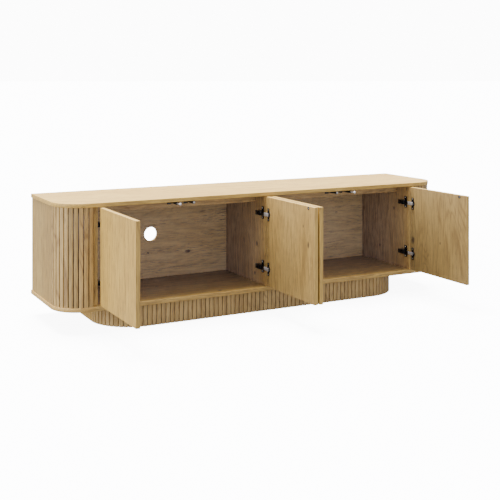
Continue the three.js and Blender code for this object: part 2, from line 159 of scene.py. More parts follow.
def make_grain_group():
    """Flat-sawn oak, with its grain along Z. Figure is the broad arched rings, Streak the fine
    dark lines, Pores the short open dashes, Cloud a slow drift of tone, and Height the relief."""
    group, start, end = new_group(
        "oak_grain",
        {"Vector": ("Vector", None)},
        {"Figure": "Float", "Streak": "Float", "Pores": "Float", "Cloud": "Float",
         "Height": "Float"},
    )
    t = Tree(group)
    place = start.outputs["Vector"]

    def along(across, lengthways):
        """The place, scaled so that a pattern is drawn out along the grain."""
        return t.vector("MULTIPLY", place, (across, across, lengthways))

    rings = t.noise(along(6.5, 1.2), 1.0, 3.0, 0.5, 0.9)
    rings = t.maths("MULTIPLY", rings, RING_COUNT)
    rings = t.maths("PINGPONG", rings, 1.0)
    rings = t.span(rings, 0.45, 1.0, smooth=True)
    broken = t.span(t.noise(along(22, 3.2), 1.0, 3.0, 0.6), 0.38, 0.62, smooth=True)
    figure = t.maths("MULTIPLY", rings, broken)
    fibre = t.noise(along(420, 16), 1.0, 3.0, 0.6)
    streak = t.noise(along(135, 9), 1.0, 4.0, 0.66, 0.4)
    cloud = t.noise(along(5, 1.4), 1.0, 3.0, 0.5)
    dashes = t.noise(along(760, 30), 1.0, 1.0, 0.5)
    pores = t.span(dashes, 0.56, 0.68, smooth=True)
    patches = t.span(t.noise(along(60, 2.0), 1.0, 2.0), 0.40, 0.62, smooth=True)
    pores = t.maths("MULTIPLY", pores, patches)
    mixed = t.maths("ADD", t.maths("MULTIPLY", streak, 0.6), t.maths("MULTIPLY", fibre, 0.4))
    t.join(figure, end.inputs["Figure"])
    t.join(mixed, end.inputs["Streak"])
    t.join(pores, end.inputs["Pores"])
    t.join(cloud, end.inputs["Cloud"])
    t.join(t.maths("SUBTRACT", mixed, t.maths("MULTIPLY", pores, 0.7)), end.inputs["Height"])
    return group


def make_knot_group():
    """A small knot at Centre, and the push that bends the grain round it."""
    group, start, end = new_group(
        "oak_knot",
        {"Vector": ("Vector", None), "Centre": ("Vector", None), "Radius": ("Float", 0.006)},
        {"Knot": "Float", "Push": "Vector"},
    )
    t = Tree(group)
    away = t.vector("SUBTRACT", start.outputs["Vector"], start.outputs["Centre"])
    wobble = t.noise(start.outputs["Vector"], 90.0, 2.0)
    squeezed = t.vector("MULTIPLY", away, (1.0, 1.0, KNOT_LENGTH))
    length = t.add("ShaderNodeVectorMath", {0: squeezed}, operation="LENGTH").outputs["Value"]
    ratio = t.maths("DIVIDE", length, start.outputs["Radius"])
    ratio = t.maths("ADD", ratio, t.maths("MULTIPLY", wobble, 0.5))
    t.join(t.span(ratio, 0.75, 1.9, 1.0, 0.0, smooth=True), end.inputs["Knot"])
    fade = t.maths("POWER", PUSH_FADE, ratio)
    side = t.vector("MULTIPLY", away, (-1.0, -1.0, 0.0))
    scaled = t.add("ShaderNodeVectorMath", {0: side, "Scale": fade}, operation="SCALE")
    t.join(scaled.outputs[0], end.inputs["Push"])
    return group


def make_wear_group():
    """Soft dust and handling marks: a slow mask, from 0 to 1."""
    group, start, end = new_group(
        "handling", {"Vector": ("Vector", None), "Scale": ("Float", 6.0)}, {"Marks": "Float"},
    )
    t = Tree(group)
    broad = t.noise(start.outputs["Vector"], start.outputs["Scale"], 4.0, 0.6)
    t.join(t.span(broad, 0.35, 0.7, smooth=True), end.inputs["Marks"])
    return group


def make_painted_shade_group():
    """A mask of painted shade that grows from the front to the back of the space between two corners.
    """
    group, start, end = new_group(
        "painted_inside_shade",
        {"Vector": ("Vector", None), "Low": ("Vector", None), "High": ("Vector", None)},
        {"Inside": "Float"},
    )
    t = Tree(group)
    place = t.add("ShaderNodeSeparateXYZ", {0: start.outputs["Vector"]}).outputs
    low = t.add("ShaderNodeSeparateXYZ", {0: start.outputs["Low"]}).outputs
    high = t.add("ShaderNodeSeparateXYZ", {0: start.outputs["High"]}).outputs
    mask = t.maths("SUBTRACT", place[1], low[1])
    mask = t.maths("DIVIDE", mask, t.maths("SUBTRACT", high[1], low[1]), clamp=True)
    mask = t.maths("POWER", mask, PAINTED_SHADE_RISE)
    for axis in range(3):
        mask = t.maths("MULTIPLY", mask, t.maths("GREATER_THAN", place[axis], low[axis]))
        mask = t.maths("MULTIPLY", mask, t.maths("LESS_THAN", place[axis], high[axis]))
    t.join(mask, end.inputs["Inside"])
    return group


GRAIN = make_grain_group()
KNOT = make_knot_group()
WEAR = make_wear_group()
PAINTED_INSIDE_SHADE = make_painted_shade_group()


# ---- materials -----------------------------------------------------------------------------

OAK_LIGHT = (0.720, 0.465, 0.125, 1)
OAK_MID = (0.620, 0.380, 0.088, 1)
OAK_DARK = (0.290, 0.160, 0.038, 1)
OAK_PORE = (0.160, 0.085, 0.030, 1)
KNOT_BROWN = (0.060, 0.034, 0.018, 1)
GRAIN_TURNS = {
    "X": (0, math.pi / 2, 0),
    "Y": (math.pi / 2, 0, 0),
    "Z": (0, 0, 0),
}


def blank_material(name):
    material = bpy.data.materials.new(name)
    material.use_nodes = True
    tree = Tree(material.node_tree)
    shader = material.node_tree.nodes["Principled BSDF"]
    return material, tree, shader


def group_node(tree, group, inputs):
    return tree.add("ShaderNodeGroup", inputs, node_tree=group)


def turned(centre, along):
    """A point in the object's frame, in the frame of a grain that runs along the given axis."""
    turn = Matrix.Rotation(GRAIN_TURNS[along][0], 3, "X")
    turn = Matrix.Rotation(GRAIN_TURNS[along][1], 3, "Y") @ turn
    return tuple(turn @ Vector(centre))


def inner_space():
    """Low and high corners of the space between the outer partitions, a hair larger."""
    hair = Vector((0.5 * MM, 0.5 * MM, 0.5 * MM))
    low = Vector((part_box("partition_left")[1].x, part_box("partition_left")[0].y,
                  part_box("bottom_panel")[1].z))
    high = Vector((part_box("partition_right")[0].x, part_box("back_board_left")[0].y,
                   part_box("top_panel")[0].z))
    return tuple(low - hair), tuple(high + hair)


def oak_material(name, along, shift=(0, 0, 0), knots=(), per_slat=False, tint=(1, 1, 1),
                 figure=0.4, streaks=0.8, inside_shade=None, slat_tones=(0.62, 1.10)):
    """Oak with its grain along an axis. knots holds (place, radius) pairs, in metres, tint the
    board's tone, which on the side panels and doors also holds painted shade, and inside_shade the
    painted shade colour that it takes deep inside the cabinet."""
    material, t, shader = blank_material(name)
    raw = t.add("ShaderNodeTexCoord").outputs["Object"]
    place = t.add("ShaderNodeMapping", {"Vector": raw}).outputs[0]
    mapping = place.node
    mapping.inputs["Rotation"].default_value = GRAIN_TURNS[along]
    knot_masks = []
    bent = place
    for centre, radius in knots:
        knot = group_node(t, KNOT, {
            "Vector": place, "Centre": turned(centre, along), "Radius": radius,
        })
        knot_masks.append(knot.outputs["Knot"])
        bent = t.vector("ADD", bent, knot.outputs["Push"])
    bent = t.vector("ADD", bent, tuple(shift))
    tone = 0.5
    if per_slat:
        slat = t.add("ShaderNodeAttribute", attribute_name="slat").outputs["Fac"]
        offset = t.add("ShaderNodeCombineXYZ", {0: slat, 1: slat, 2: slat}).outputs[0]
        bent = t.vector("ADD", bent, t.vector("MULTIPLY", offset, (3.0, 7.0, 5.0)))
        tone = slat
    grain = group_node(t, GRAIN, {"Vector": bent})
    marks = group_node(t, WEAR, {"Vector": bent, "Scale": 5.0}).outputs["Marks"]
    colour = t.blend(t.span(grain.outputs["Cloud"], 0.3, 0.7), OAK_LIGHT, OAK_MID)
    figure_share = t.maths("MULTIPLY", grain.outputs["Figure"], figure)
    colour = t.blend(figure_share, colour, OAK_DARK)
    streak_share = t.span(grain.outputs["Streak"], 0.42, 0.64, 0.0, streaks)
    colour = t.blend(streak_share, colour, OAK_DARK)
    colour = t.blend(t.maths("MULTIPLY", grain.outputs["Pores"], 0.75), colour, OAK_PORE)
    for mask in knot_masks:
        colour = t.blend(t.maths("MULTIPLY", mask, 0.8), colour, KNOT_BROWN)
    colour = t.blend(1.0, colour, (*tint, 1), "MULTIPLY")
    # Painted shade: deep inside the cabinet the colour is multiplied by the board's inside shade
    # colour, which stands in for the shade that falls there.
    if inside_shade:
        low, high = inner_space()
        depth = group_node(t, PAINTED_INSIDE_SHADE, {"Vector": raw, "Low": low, "High": high})
        colour = t.blend(depth.outputs["Inside"], colour, (*inside_shade, 1), "MULTIPLY")
    if per_slat:
        shade = t.span(tone, 0.0, 1.0, *slat_tones)
        grey = t.add("ShaderNodeCombineColor", {0: shade, 1: shade, 2: shade}).outputs[0]
        colour = t.blend(1.0, colour, grey, "MULTIPLY")
    t.join(colour, shader.inputs["Base Color"])
    rough = t.span(grain.outputs["Streak"], 0.3, 0.7, 0.40, 0.52)
    rough = t.maths("ADD", rough, t.maths("MULTIPLY", marks, 0.06))
    t.join(rough, shader.inputs["Roughness"])
    bump = t.add("ShaderNodeBump", {"Strength": 0.25, "Distance": 0.0004})
    t.join(grain.outputs["Height"], bump.inputs["Height"])
    t.join(bump.outputs["Normal"], shader.inputs["Normal"])
    return material


def metal_material(name, colour, worn, roughness, metallic=1.0, grain_scale=180.0):
    """Plated or blackened steel, with fine drawing marks and slightly rubbed patches."""
    material, t, shader = blank_material(name)
    raw = t.add("ShaderNodeTexCoord").outputs["Object"]
    drawn = t.vector("MULTIPLY", raw, (grain_scale, grain_scale * 0.2, grain_scale))
    fine = t.noise(drawn, 8.0, 3.0)
    marks = group_node(t, WEAR, {"Vector": raw, "Scale": 60.0}).outputs["Marks"]
    share = t.maths("MULTIPLY", marks, 0.35)
    t.join(t.blend(share, colour, worn), shader.inputs["Base Color"])
    rough = t.span(fine, 0.2, 0.8, roughness - 0.05, roughness + 0.07)
    t.join(rough, shader.inputs["Roughness"])
    shader.inputs["Metallic"].default_value = metallic
    bump = t.add("ShaderNodeBump", {"Strength": 0.06, "Distance": 0.00005, "Height": fine})
    t.join(bump.outputs["Normal"], shader.inputs["Normal"])
    return material


def plastic_material(name, colour, dusted, roughness):
    """Moulded plastic with a fine spark-eroded texture."""
    material, t, shader = blank_material(name)
    raw = t.add("ShaderNodeTexCoord").outputs["Object"]
    fine = t.noise(raw, 2600.0, 2.0)
    marks = group_node(t, WEAR, {"Vector": raw, "Scale": 45.0}).outputs["Marks"]
    share = t.maths("MULTIPLY", marks, 0.5)
    t.join(t.blend(share, colour, dusted), shader.inputs["Base Color"])
    rough = t.span(fine, 0.2, 0.8, roughness - 0.06, roughness + 0.08)
    t.join(rough, shader.inputs["Roughness"])
    bump = t.add("ShaderNodeBump", {"Strength": 0.2, "Distance": 0.0001, "Height": fine})
    t.join(bump.outputs["Normal"], shader.inputs["Normal"])
    return material


BLACK_STEEL = metal_material("black_steel", (0.022, 0.022, 0.024, 1), (0.06, 0.06, 0.062, 1), 0.34)
BRIGHT_STEEL = metal_material(
    "bright_steel", (0.86, 0.86, 0.84, 1), (0.70, 0.69, 0.67, 1), 0.36, metallic=0.85,
)
RING_BLACK = plastic_material(
    "ring_black", (0.006, 0.006, 0.007, 1), (0.012, 0.012, 0.012, 1), 0.65,
)
BLACK_PLASTIC = plastic_material(
    "black_plastic", (0.012, 0.012, 0.014, 1), (0.03, 0.03, 0.03, 1), 0.42,
)
WHITE_PLASTIC = plastic_material(
    "white_plastic", (0.78, 0.77, 0.74, 1), (0.70, 0.68, 0.64, 1), 0.34,
)
# The slats' backing is a real part, but its near-black colour is painted shade in the grooves between
# the slats.
GROOVE_SHADE_BACKING = plastic_material(
    "groove_backing_painted_shade", (0.022, 0.014, 0.009, 1), (0.03, 0.02, 0.014, 1), 0.8,
)
SLAT_OAK = oak_material(
    "slat_oak", "Z", shift=(4.1, 2.7, 0.3), per_slat=True, tint=(0.90, 0.94, 1.20), figure=0.8,
)
PLINTH_OAK = oak_material(
    "plinth_oak", "Z", shift=(1.7, 5.2, 0.9), per_slat=True, tint=(1.02, 1.06, 1.36), figure=0.6,
    streaks=0.65, slat_tones=(0.88, 1.06),
)
PLAIN_OAK = oak_material("plain_oak_Z", "Z", shift=(1.3, 0.4, 2.2))


# ---- boards --------------------------------------------------------------------------------

EASED_EDGE = 0.9 * MM
LARGE_FACE = 0.003  # square metres; larger faces are flat, smaller ones belong to round edges
WELD = 0.02 * MM  # vertices nearer than this are one vertex
SAME_PLANE = 0.01  # radians between triangles of one flat face


def tidy_copy(node):
    """A node's mesh with its loose triangles merged into whole faces."""
    bm = bmesh.new()
    bm.from_mesh(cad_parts[node].data)
    bmesh.ops.remove_doubles(bm, verts=bm.verts, dist=WELD)
    bmesh.ops.dissolve_limit(bm, angle_limit=SAME_PLANE, verts=bm.verts, edges=bm.edges)
    return bm


def ease_edges(bm, width, segments=2, sharper_than=math.radians(35)):
    edges = [e for e in bm.edges if e.is_manifold and e.calc_face_angle() > sharper_than]
    bmesh.ops.bevel(
        bm, geom=edges, offset=width, segments=segments, profile=0.5,
        affect="EDGES", clamp_overlap=True,
    )


def finish_mesh(bm, name, material, body, smooth_all=False):
    for face in bm.faces:
        face.smooth = smooth_all or face.calc_area() < LARGE_FACE
    mesh = bpy.data.meshes.new(name)
    bm.to_mesh(mesh)
    bm.free()
    mesh.materials.append(material)
    piece = bpy.data.objects.new(name, mesh)
    bpy.context.scene.collection.objects.link(piece)
    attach(piece, body)
    return piece


def eased_board(node, material, body=CARCASE, width=EASED_EDGE):
    bm = tidy_copy(node)
    ease_edges(bm, width)
    piece = finish_mesh(bm, node + "_board", material, body)
    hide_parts(node)
    return piece


def knot_places(node, shares):
    """Turns (x share, y share, z share, radius in mm) of a node's box into places."""
    low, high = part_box(node)
    places = []
    for *share, radius in shares:
        point = [a + (b - a) * s for a, b, s in zip(low, high, share)]
        places.append((tuple(point), radius * MM))
    return places


# Each board: its grain's axis, its knots as shares of its box with a radius in mm, its tone, and
# the painted shade colour that it takes deep inside the cabinet.
# The side panels' dull tone is painted shade: it makes them darker than the doors' outer faces.
WARM, PALE, DULL_WITH_PAINTED_SHADE = (1, 1, 1), (1, 1, 0.8), (0.68, 0.68, 0.65)
# The inside colours are painted shade: each board's colour is multiplied by one of them deep inside
# the cabinet, where the shade falls.
BACK_PAINTED_SHADE, SIDE_PAINTED_SHADE, BASE_PAINTED_SHADE = (1.12, 1.32, 2.7), (0.70, 0.84, 2.4), (0.43, 0.48, 1.35)
RAIL_PAINTED_SHADE = (1.0, 1.15, 2.4)
BOARDS = {
    "top_panel": ("X", [(0.30, 0.7, 1, 3)], PALE, SIDE_PAINTED_SHADE),
    "bottom_panel": ("X", [(0.27, 0.55, 1, 4), (0.38, 0.08, 1, 5), (0.62, 0.2, 1, 4)],
                     WARM, BASE_PAINTED_SHADE),
    "side_panel_left": ("Z", [], DULL_WITH_PAINTED_SHADE, None),
    "side_panel_right": ("Z", [(1, 0.4, 0.6, 4)], DULL_WITH_PAINTED_SHADE, None),
    "partition_left": ("Z", [(1, 0.4, 0.3, 4)], WARM, SIDE_PAINTED_SHADE),
    "partition_centre": ("Z", [(0, 0.20, 0.44, 5), (0, 0.25, 0.10, 4)], WARM, SIDE_PAINTED_SHADE),
    "partition_right": ("Z", [(0, 0.3, 0.7, 4), (0, 0.6, 0.2, 3)], WARM, SIDE_PAINTED_SHADE),
    "back_board_left": ("X", [(0.778, 0, 0.27, 6), (0.565, 0, 0.29, 3), (0.30, 0, 0.50, 6)],
                        WARM, BACK_PAINTED_SHADE),
    "back_board_right": ("X", [(0.32, 0, 0.70, 5), (0.50, 0, 0.22, 4), (0.22, 0, 0.66, 4)],
                         WARM, BACK_PAINTED_SHADE),
    "top_rail_left": ("X", [], WARM, RAIL_PAINTED_SHADE),
    "top_rail_right": ("X", [], WARM, RAIL_PAINTED_SHADE),
    "plinth_back": ("X", [], WARM, None),
    "plinth_cross_member": ("Y", [], WARM, None),
}
# The strength of a board's figure and streaks, where it isn't the usual one.
BOARD_FIGURES = {"top_panel": 0.25, "back_board_left": 0.28, "back_board_right": 0.28}
BOARD_STREAKS = {"back_board_left": 0.45, "back_board_right": 0.45}


def add_boards():
    for number, (node, (along, shares, tint, inside_shade)) in enumerate(BOARDS.items()):
        shift = (0.37 * number, 0.61 * number, 0.83 * number)
        figure = BOARD_FIGURES.get(node, 0.45)
        material = oak_material(
            node + "_oak", along, shift, knot_places(node, shares), tint=tint, figure=figure,
            streaks=BOARD_STREAKS.get(node, 0.8), inside_shade=inside_shade,
        )
        eased_board(node, material)


# Each door's inner material: its knots as shares of the door's box with a radius in mm, its tone,
# which holds painted shade that makes the inner faces darker than the outer ones (door 4 the darkest),
# and the strength of its figure.
DOOR_KNOTS = {
    1: [(0, 0.74, 0.46, 5)],
    2: [(0, 0.12, 0.60, 6), (0, 0.22, 0.78, 3)],
    3: [(1, 0.5, 0.4, 4), (0, 0.6, 0.3, 4)],
    4: [(0, 0.95, 0.36, 8), (0, 0.45, 0.40, 3)],
}
DOOR_TONES_WITH_PAINTED_SHADE = {
    1: (0.95, 0.95, 0.80), 2: (0.78, 0.79, 0.90), 3: (0.85, 0.86, 0.90), 4: (0.59, 0.61, 0.78),
}
DOOR_FIGURES = {1: 0.25, 2: 0.6, 3: 0.4, 4: 0.6}
DOOR_OUTSIDE = (0.95, 0.95, 0.82)  # the tone of every door's outer face and edges, lighter than the painted shade on the inner faces
FACES_INWARD = 0.9  # how squarely a face looks inward before it takes the inner face's tone, with its painted shade
# In the open pose each door's inner face looks along x, to the right (1) or the left (-1).
LOOKS = {1: 1, 2: -1, 3: 1, 4: -1}


def add_doors():
    for number in DOORS:
        node = f"door_{number}"
        shift = (0.91 * number, 0.53 * number, 1.27 * number)
        places = knot_places(node, DOOR_KNOTS[number])
        # The inner faces take the door's tone with its painted shade; the outer faces and edges take
        # the lighter outer tone.
        material = oak_material(node + "_oak", "Z", shift, places, tint=DOOR_TONES_WITH_PAINTED_SHADE[number],
                                figure=DOOR_FIGURES[number])
        outside = oak_material(node + "_outside_oak", "Z", shift, tint=DOOR_OUTSIDE, figure=0.3)
        door = eased_board(node, material, f"door_leaf_{number}")
        door.data.materials.append(outside)
        for face in door.data.polygons:
            if face.normal.x * LOOKS[number] < FACES_INWARD:
                face.material_index = 1


# ---- slatted skins -------------------------------------------------------------------------

SLAT_DEPTH = 6 * MM
SLAT_GROOVE = 4 * MM
PLINTH_GROOVE = 3 * MM
SLAT_EASING = 1.2 * MM
STEPS_PER_SLAT = 8
BACKING_DEPTH = 5 * MM
BACKING_OVERLAP = 0.5 * MM  # how far the backing, near black with painted shade, reaches up between the slats


def slat_tree():
    """Upright slats, evenly spaced along a path, each with eased edges and its own number."""
    tree = bpy.data.node_groups.new("upright_slats", "GeometryNodeTree")
    face = tree.interface
    face.new_socket("Path", in_out="INPUT", socket_type="NodeSocketGeometry")
    sizes = {"Count": "Int", "Width": "Float", "Depth": "Float", "Height": "Float",
             "Easing": "Float", "Seed": "Int", "Material": "Material"}
    for name, kind in sizes.items():
        face.new_socket(name, in_out="INPUT", socket_type="NodeSocket" + kind)
    face.new_socket("Slats", in_out="OUTPUT", socket_type="NodeSocketGeometry")
    t = Tree(tree)
    start = tree.nodes.new("NodeGroupInput").outputs
    end = tree.nodes.new("NodeGroupOutput").inputs

    section = t.add("GeometryNodeCurvePrimitiveQuadrilateral", {
        "Width": start["Width"], "Height": start["Depth"],
    })
    rounded = t.add("GeometryNodeFilletCurve", {
        "Curve": section.outputs[0], "Radius": start["Easing"],
    }, mode="POLY")
    rounded.inputs["Count"].default_value = 3
    top = t.add("ShaderNodeCombineXYZ", {2: start["Height"]}).outputs[0]
    line = t.add("GeometryNodeCurvePrimitiveLine", {"End": top})
    slat = t.add("GeometryNodeCurveToMesh", {
        "Curve": line.outputs[0], "Profile Curve": rounded.outputs[0], "Fill Caps": True,
    })
    path = t.add("GeometryNodeMeshToCurve", {0: start["Path"]}).outputs[0]
    points = t.add("GeometryNodeCurveToPoints", {
        "Curve": path, "Count": start["Count"],
    }, mode="COUNT")
    along = points.outputs["Tangent"]
    turn = t.add("FunctionNodeAlignRotationToVector", {"Vector": along}, axis="X", pivot_axis="Z")
    placed = t.add("GeometryNodeInstanceOnPoints", {
        "Points": points.outputs["Points"], "Instance": slat.outputs[0],
        "Rotation": turn.outputs[0],
    })
    chance = t.add("FunctionNodeRandomValue", {"Seed": start["Seed"]}, data_type="FLOAT")
    stored = t.add("GeometryNodeStoreNamedAttribute", {
        "Geometry": placed.outputs[0], "Name": "slat", "Value": chance.outputs[1],
    }, data_type="FLOAT", domain="INSTANCE")
    real = t.add("GeometryNodeRealizeInstances", {0: stored.outputs[0]})
    done = t.add("GeometryNodeSetMaterial", {
        "Geometry": real.outputs[0], "Material": start["Material"],
    })
    t.join(done.outputs[0], end["Slats"])
    return tree


SLATS = slat_tree()


def quarter_then_run(centre, radius, run):
    """at(s, depth) along a path, and its length: a quarter turn round the left front corner,
    and then straight along the front for run. depth is measured inwards from the path."""
    curve = math.pi / 2 * radius

    def at(s, depth):
        if s > curve:
            return Vector((centre[0] + s - curve, centre[1] - radius + depth, 0))
        angle = math.pi + s / radius
        reach = radius - depth
        return Vector((centre[0] + reach * math.cos(angle), centre[1] + reach * math.sin(angle), 0))

    return at, curve + run


def straight(x0, x1, y):
    """The same kind of path and length, straight along the front."""
    return (lambda s, depth: Vector((x0 + s, y + depth, 0))), x1 - x0


def mirrored(point, side):
    """A point given for the left side, on the side that is asked for."""
    return Vector((point.x if side < 0 else -point.x, point.y, point.z))


def add_slats(name, path, length, count, low, high, side, seed, groove=SLAT_GROOVE,
              material=SLAT_OAK):
    """A row of slats along the path, between two heights, on the left or mirrored to the right."""
    pitch = length / count
    steps = STEPS_PER_SLAT * count
    first = pitch / 2
    stretch = length - pitch
    points = [
        mirrored(path(first + stretch * i / steps, SLAT_DEPTH / 2), side) + Vector((0, 0, low))
        for i in range(steps + 1)
    ]
    made = made_by_tree(name, points, [(i, i + 1) for i in range(steps)], SLATS, {
        "Count": count, "Width": pitch - groove, "Depth": SLAT_DEPTH, "Height": high - low,
        "Easing": SLAT_EASING, "Seed": seed, "Material": material,
    })
    piece = bpy.data.objects.new(name, made)
    bpy.context.scene.collection.objects.link(piece)
    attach(piece, CARCASE)
    return piece


def add_strip(name, path, length, start_depth, end_depth, low, high, side, material, steps=40):
    """A closed strip that follows the path between two depths behind its face."""
    bm = bmesh.new()
    rows = []
    for i in range(steps + 1):
        s = length * i / steps
        corners = [(start_depth, low), (end_depth, low), (end_depth, high), (start_depth, high)]
        rows.append([
            bm.verts.new(mirrored(path(s, depth), side) + Vector((0, 0, z)))
            for depth, z in corners
        ])
    for near, far in zip(rows, rows[1:]):
        for k in range(4):
            bm.faces.new((near[k], near[(k + 1) % 4], far[(k + 1) % 4], far[k]))
    bm.faces.new(rows[0])
    bm.faces.new(reversed(rows[-1]))
    bmesh.ops.recalc_face_normals(bm, faces=bm.faces)
    return finish_mesh(bm, name, material, CARCASE)


def add_box(name, low, high, material, body=CARCASE, width=EASED_EDGE):
    bm = bmesh.new()
    bmesh.ops.create_cube(bm, size=1)
    low, high = Vector(low), Vector(high)
    for vert in bm.verts:
        vert.co = Vector([a + (b - a) * (c + 0.5) for a, b, c in zip(low, high, vert.co)])
    ease_edges(bm, width)
    return finish_mesh(bm, name, material, body)


CORNER_COUNT = 10
PLINTH_CORNER_COUNT = 16
PLINTH_FRONT_COUNT = 52
SKIN_STOP = 5.4 * MM  # the corner slats stop this far short of the skin's door side
FILLER_WIDTH = 22 * MM
FILLER_DEPTH = 16 * MM
PLINTH_RUN = 37 * MM  # the straight stretch along the front, after a plinth corner's round
PLINTH_SIDE_GAP = 0.5 * MM  # between the round corner's end and the plain side behind it


def add_corner_skins():
    for name, side in SIDES.items():
        node = f"corner_skin_{name}"
        low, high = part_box(node)
        far, near = (low.x, high.x) if side < 0 else (-high.x, -low.x)
        radius = high.y - low.y
        centre = (far + radius, high.y)
        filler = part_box(f"partition_{name}")[0].y
        skin_end = -abs(near) - SKIN_STOP
        run = skin_end - centre[0]
        path, length = quarter_then_run(centre, radius, run)
        slats = add_slats(
            f"corner_slats_{name}", path, length, CORNER_COUNT, low.z, high.z, side, 11 + side,
        )
        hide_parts(node)
        add_strip(
            f"corner_backing_{name}", path, length, SLAT_DEPTH - BACKING_OVERLAP,
            SLAT_DEPTH + BACKING_DEPTH, low.z, high.z, side, GROOVE_SHADE_BACKING,
        )
        ends = sorted(
            mirrored(Vector((x, 0, 0)), side).x for x in (near, near - FILLER_WIDTH)
        )
        add_box(
            f"corner_filler_{name}", (ends[0], filler, low.z),
            (ends[1], filler + FILLER_DEPTH, high.z), PLAIN_OAK,
        )


def add_plinth():
    front_low, front_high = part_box("plinth_front")
    path, length = straight(front_low.x, front_high.x, front_low.y)
    slats = add_slats(
        "plinth_slats_front", path, length, PLINTH_FRONT_COUNT, front_low.z, front_high.z, -1, 5,
        PLINTH_GROOVE, PLINTH_OAK,
    )
    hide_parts("plinth_front")
    add_strip(
        "plinth_backing_front", path, length, SLAT_DEPTH - BACKING_OVERLAP, SLAT_DEPTH + BACKING_DEPTH,
        front_low.z, front_high.z, -1, GROOVE_SHADE_BACKING, steps=2,
    )
    for name, side in SIDES.items():
        node = f"plinth_corner_{name}"
        low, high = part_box(node)
        far = low.x if side < 0 else -high.x
        radius = (high.x - low.x) - PLINTH_RUN
        centre = (far + radius, low.y + radius)
        path, length = quarter_then_run(centre, radius, PLINTH_RUN)
        slats = add_slats(
            f"plinth_slats_{name}", path, length, PLINTH_CORNER_COUNT, low.z, high.z, side,
            21 + side, PLINTH_GROOVE, PLINTH_OAK,
        )
        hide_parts(node)
        add_strip(
            f"plinth_backing_{name}", path, length, SLAT_DEPTH - BACKING_OVERLAP,
            SLAT_DEPTH + BACKING_DEPTH, low.z, high.z, side, GROOVE_SHADE_BACKING,
        )
        ends = sorted((side * -far, side * -(far + SLAT_DEPTH + BACKING_DEPTH)))
        add_box(
            f"plinth_side_{name}", (ends[0], centre[1] + PLINTH_SIDE_GAP, low.z),
            (ends[1], high.y, high.z), PLAIN_OAK,
        )


# ---- hardware ------------------------------------------------------------------------------

# A screw's cross recess, as shares of the head's radius, radius and rise.
RECESS_LENGTH, RECESS_WIDTH, RECESS_DEPTH = 1.1, 0.26, 1.1
# Edges sharper than these stay sharp under smooth shading.
SHARP_SCREW = math.radians(40)
SHARP_NODE = math.radians(40)
SHARP_TURNED = math.radians(35)
REAL_CORNER = math.radians(50)  # a drawn edge sharper than this is rounded over


def screw_tree():
    """Pan-head screws with a cross recess, stood on points and turned to face along an axis."""
    tree = bpy.data.node_groups.new("pan_head_screws", "GeometryNodeTree")
    face = tree.interface
    face.new_socket("Places", in_out="INPUT", socket_type="NodeSocketGeometry")
    for name, kind in {"Radius": "Float", "Rise": "Float", "Facing": "Vector", "Seed": "Int",
                       "Material": "Material"}.items():
        face.new_socket(name, in_out="INPUT", socket_type="NodeSocket" + kind)
    face.new_socket("Screws", in_out="OUTPUT", socket_type="NodeSocketGeometry")
    t = Tree(tree)
    start = tree.nodes.new("NodeGroupInput").outputs
    end = tree.nodes.new("NodeGroupOutput").inputs
    ball = t.add("GeometryNodeMeshUVSphere", {
        "Segments": 20, "Rings": 12, "Radius": start["Radius"],
    })
    flat = t.maths("DIVIDE", start["Rise"], start["Radius"])
    squash = t.add("ShaderNodeCombineXYZ", {0: 1.0, 1: 1.0, 2: flat}).outputs[0]
    head = t.add("GeometryNodeTransform", {"Geometry": ball.outputs[0], "Scale": squash})
    long = t.maths("MULTIPLY", start["Radius"], RECESS_LENGTH)
    thin = t.maths("MULTIPLY", start["Radius"], RECESS_WIDTH)
    deep = t.maths("MULTIPLY", start["Rise"], RECESS_DEPTH)
    up = t.add("ShaderNodeCombineXYZ", {2: start["Rise"]}).outputs[0]
    slots = []
    for size in ((long, thin), (thin, long)):
        box = t.add("GeometryNodeMeshCube", {
            "Size": t.add("ShaderNodeCombineXYZ", {0: size[0], 1: size[1], 2: deep}).outputs[0],
        })
        slots.append(t.add("GeometryNodeTransform", {
            "Geometry": box.outputs[0], "Translation": up,
        }).outputs[0])
    screw = t.add("GeometryNodeMeshBoolean", {0: head.outputs[0]}, operation="DIFFERENCE")
    for slot in slots:
        t.join(slot, screw.inputs[1])
    points = t.add("GeometryNodeMeshToPoints", {"Mesh": start["Places"]})
    facing = t.add("FunctionNodeAlignRotationToVector", {"Vector": start["Facing"]}, axis="Z")
    spin = t.add("FunctionNodeRandomValue", {"Seed": start["Seed"]}, data_type="FLOAT")
    spin.inputs[3].default_value = math.pi
    own_turn = t.add("ShaderNodeCombineXYZ", {2: spin.outputs[1]}).outputs[0]
    turned_by = t.add("FunctionNodeEulerToRotation", {0: own_turn}).outputs[0]
    turn = t.add("FunctionNodeRotateRotation", {0: facing.outputs[0], 1: turned_by},
                 rotation_space="LOCAL")
    placed = t.add("GeometryNodeInstanceOnPoints", {
        "Points": points.outputs[0], "Instance": screw.outputs[0], "Rotation": turn.outputs[0],
    })
    real = t.add("GeometryNodeRealizeInstances", {0: placed.outputs[0]})
    done = t.add("GeometryNodeSetMaterial", {
        "Geometry": real.outputs[0], "Material": start["Material"],
    })
    t.join(done.outputs[0], end["Screws"])
    return tree


SCREWS = screw_tree()


